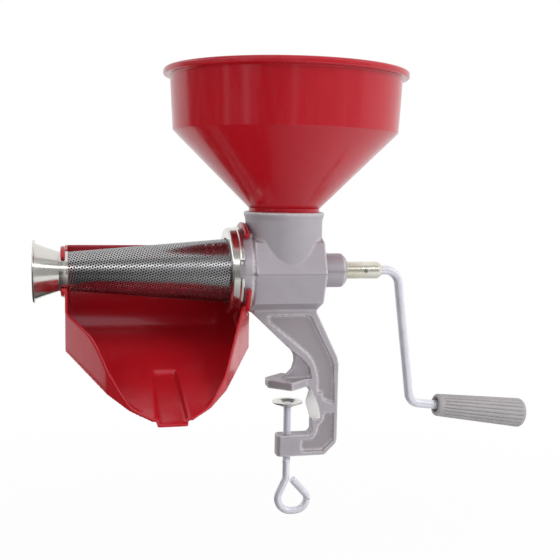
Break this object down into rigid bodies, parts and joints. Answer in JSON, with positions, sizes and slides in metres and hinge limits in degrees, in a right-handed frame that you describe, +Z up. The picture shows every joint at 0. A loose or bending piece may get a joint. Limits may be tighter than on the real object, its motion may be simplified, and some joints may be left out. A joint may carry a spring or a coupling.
{
  "type": "food mill",
  "caption": "Hand-cranked strainer mill: hopper on a cast body with table clamp, auger in a perforated cone, hooked juice chute, waste spout and bent-rod crank with fluted grip.",
  "frame": {"origin": "on the clamp screw's axis, on the underside of the upper jaw, where the table top seats", "axes": "+Z up along the clamp screw, +X along the crank shaft from the waste spout to the crank, -Y towards the juice chute's lip"},
  "size_m": [0.5147, 0.2575, 0.4498],
  "materials": {
    "red_moulding": "glossy moulded red plastic",
    "cast_body": "fine-grained die casting, tumbled",
    "bright_steel": "polished pressed steel",
    "screen_steel": "rolled perforated stainless sheet",
    "seal_rubber": "matt food-grade rubber",
    "bush_bronze": "sintered bronze",
    "yellow_zinc": "pale yellow zinc plate",
    "auger_casting": "plain die casting",
    "plated_rod": "bright zinc plated wire",
    "pin_steel": "plain spring steel",
    "grey_moulding": "fluted grey plastic"
  },
  "bodies": {
    "frame": {"body_casting": "cast_body", "shaft_bush": "bush_bronze", "shaft_seal": "seal_rubber", "thrust_washer": "plated_rod"},
    "hopper": {"hopper": "red_moulding"},
    "crank": {"drive_shaft": "yellow_zinc", "auger": "auger_casting", "crank_rod": "plated_rod", "crank_pin": "pin_steel", "grip_push_nut": "pin_steel"},
    "grip": {"crank_grip": "grey_moulding", "grip_cap": "grey_moulding"},
    "strainer": {"strainer_cone": "screen_steel", "cone_gasket": "seal_rubber", "collar": "bright_steel", "outlet_band": "bright_steel", "waste_spout": "bright_steel"},
    "chute": {"chute": "red_moulding"},
    "clamp_pad": {"clamp_pad": "bright_steel"},
    "clamp_screw": {"clamp_screw": "plated_rod"}
  },
  "joints": [
    {"name": "crank_spin", "type": "hinge", "parent": "frame", "child": "crank", "pos_m": [0.0428, 0, 0.1185], "axis": [1, 0, 0], "continuous": true},
    {"name": "grip_spin", "type": "hinge", "parent": "crank", "child": "grip", "pos_m": [0.1327, 0, -0.022], "axis": [0.9918, 0, -0.1281], "continuous": true},
    {"name": "hopper_lift", "type": "slide", "parent": "frame", "child": "hopper", "axis": [0, 0, 1], "range_m": [0, 0.06]},
    {"name": "strainer_twist", "type": "hinge", "parent": "frame", "child": "strainer", "pos_m": [-0.0672, 0, 0.1185], "axis": [-1, 0, 0], "range_deg": [0, 17]},
    {"name": "chute_swing", "type": "hinge", "parent": "frame", "child": "chute", "pos_m": [-0.1272, 0, 0.1185], "axis": [1, 0, 0], "range_deg": [-20, 8]},
    {"name": "clamp_travel", "type": "slide", "parent": "frame", "child": "clamp_pad", "axis": [0, 0, 1], "range_m": [-0.0275, 0.015]},
    {"name": "clamp_turn", "type": "hinge", "parent": "clamp_pad", "child": "clamp_screw", "pos_m": [0, 0, -0.05], "axis": [0, 0, 1], "range_deg": [-7921, 4321]}
  ],
  "couplings": [
    {"joint": "clamp_turn", "follows": "clamp_travel", "rad_per_m": 5026.5}
  ]
}
